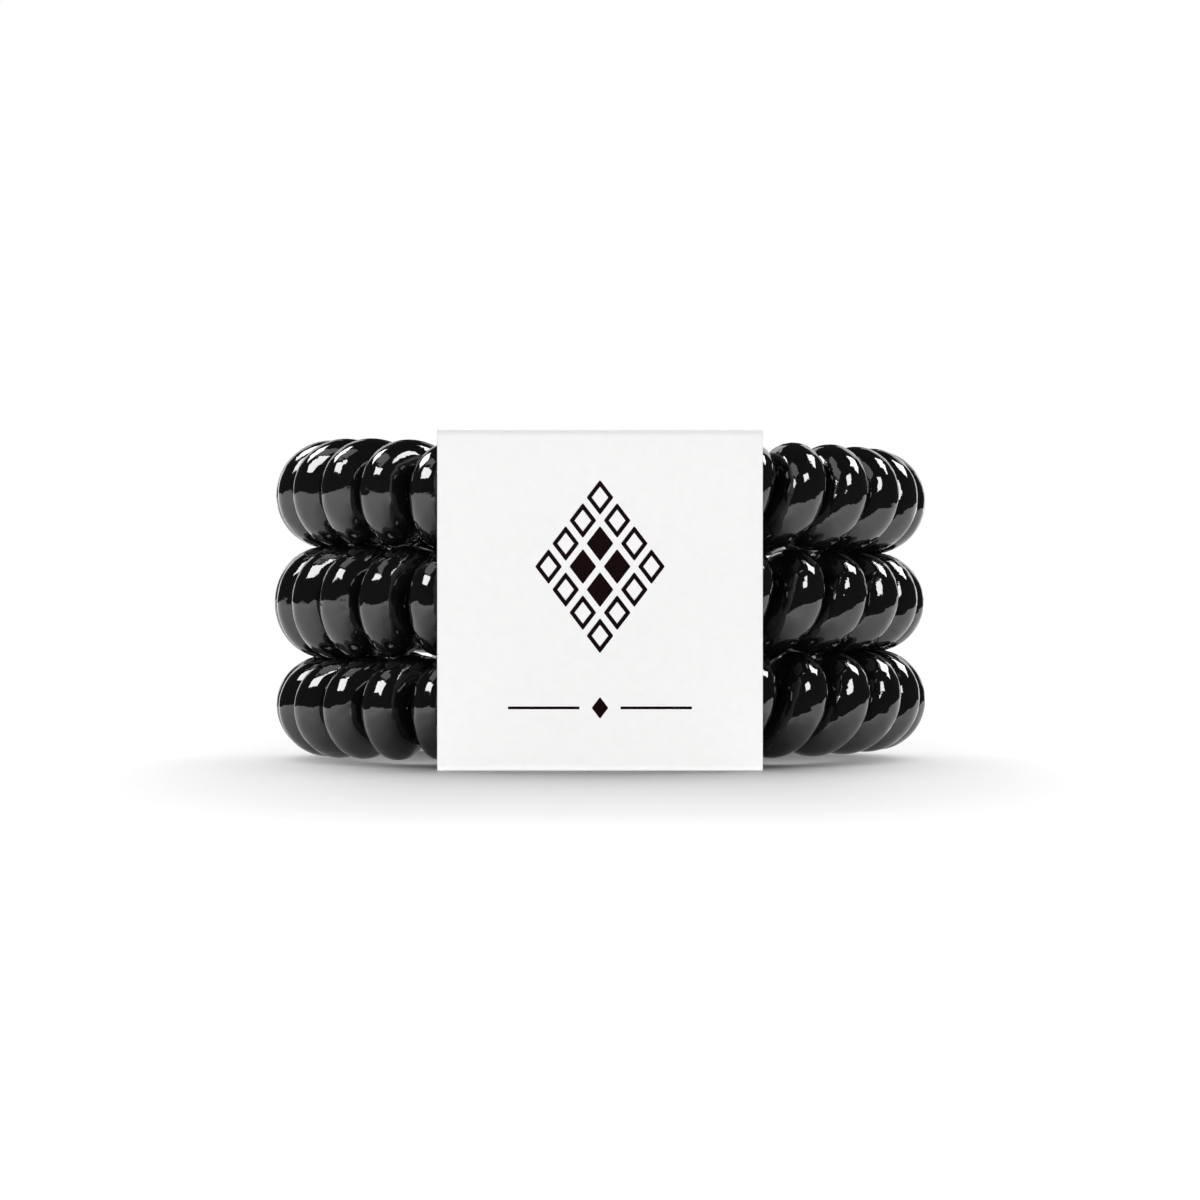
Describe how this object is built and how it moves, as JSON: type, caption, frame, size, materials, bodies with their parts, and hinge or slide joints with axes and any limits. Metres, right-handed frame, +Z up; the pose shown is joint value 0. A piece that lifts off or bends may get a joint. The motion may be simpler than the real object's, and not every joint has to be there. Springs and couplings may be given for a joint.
{
  "type": "spiral hair ties in a card sleeve",
  "caption": "Glossy black spiral hair ties, each an endless coil of round plastic wire bent into a ring, stacked flat and held by a folded white card sleeve.",
  "frame": {"origin": "on the surface that the pack stands on, under the middle of its width and depth", "axes": "+Z up through the ties' hole, -Y out of the sleeve's front, +X to the right as the front is seen"},
  "size_m": [0.0515, 0.0522, 0.0249],
  "materials": {
    "wire": "gloss",
    "card": "matte"
  },
  "bodies": {
    "root": {"tie_bottom": "wire", "tie_middle": "wire", "tie_top": "wire", "card_sleeve": "card"}
  },
  "joints": []
}
